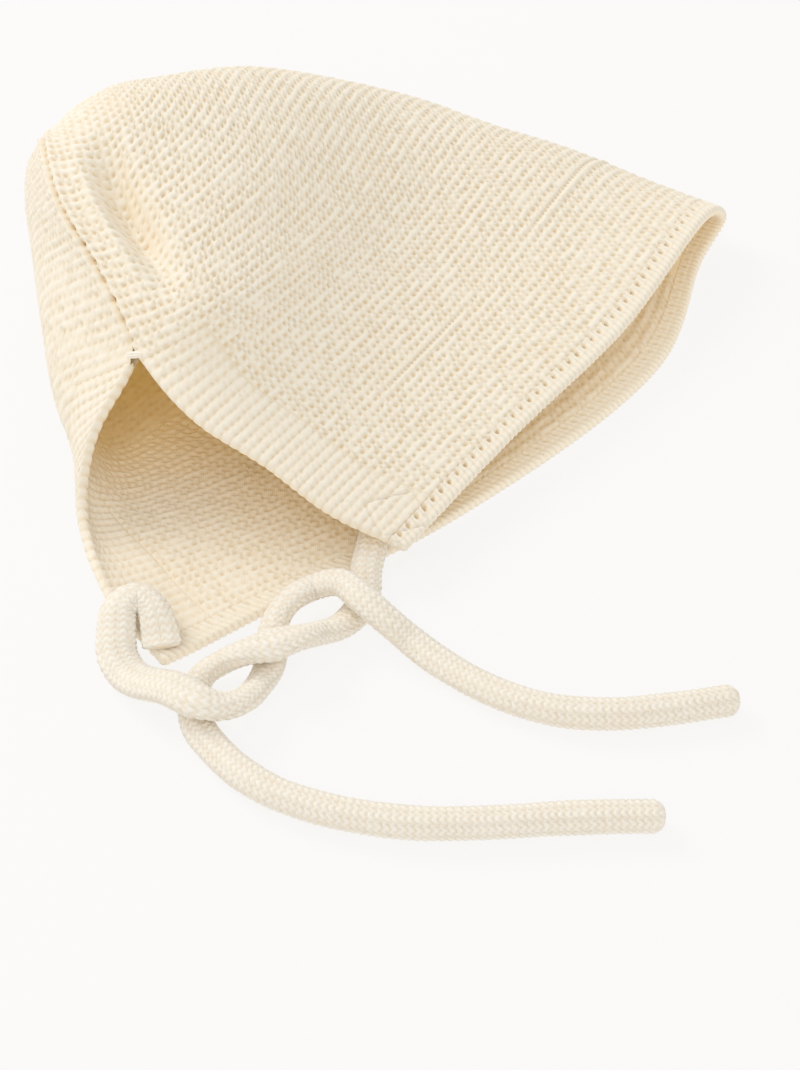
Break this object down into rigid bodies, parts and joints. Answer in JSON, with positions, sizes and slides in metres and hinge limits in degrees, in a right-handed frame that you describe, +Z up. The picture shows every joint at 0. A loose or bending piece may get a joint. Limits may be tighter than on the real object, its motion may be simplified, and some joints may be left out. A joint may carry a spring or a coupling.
{
  "type": "baby bonnet",
  "caption": "Hand-knitted garter-stitch baby bonnet lying on its side, with a picot face edge, neck bands and two soft ties.",
  "frame": {"origin": "middle of the footprint of the knitted bonnet, without its ties, on the surface that it lies on", "axes": "+Z up from the surface; +X from the neck opening towards the face opening; +Y from the neck corners towards the fold along the top of the head"},
  "size_m": [0.1892, 0.2495, 0.0612],
  "materials": {
    "garter_knit": "matte knitted cotton",
    "band_knit": "matte knitted cotton",
    "picot_knit": "matte knitted cotton",
    "tie_knit": "matte knitted cotton"
  },
  "bodies": {
    "root": {"knitted_body": "garter_knit", "neck_band_upper": "band_knit", "neck_band_lower": "band_knit", "picot_edge": "picot_knit", "tie_upper": "tie_knit", "tie_lower": "tie_knit"}
  },
  "joints": []
}
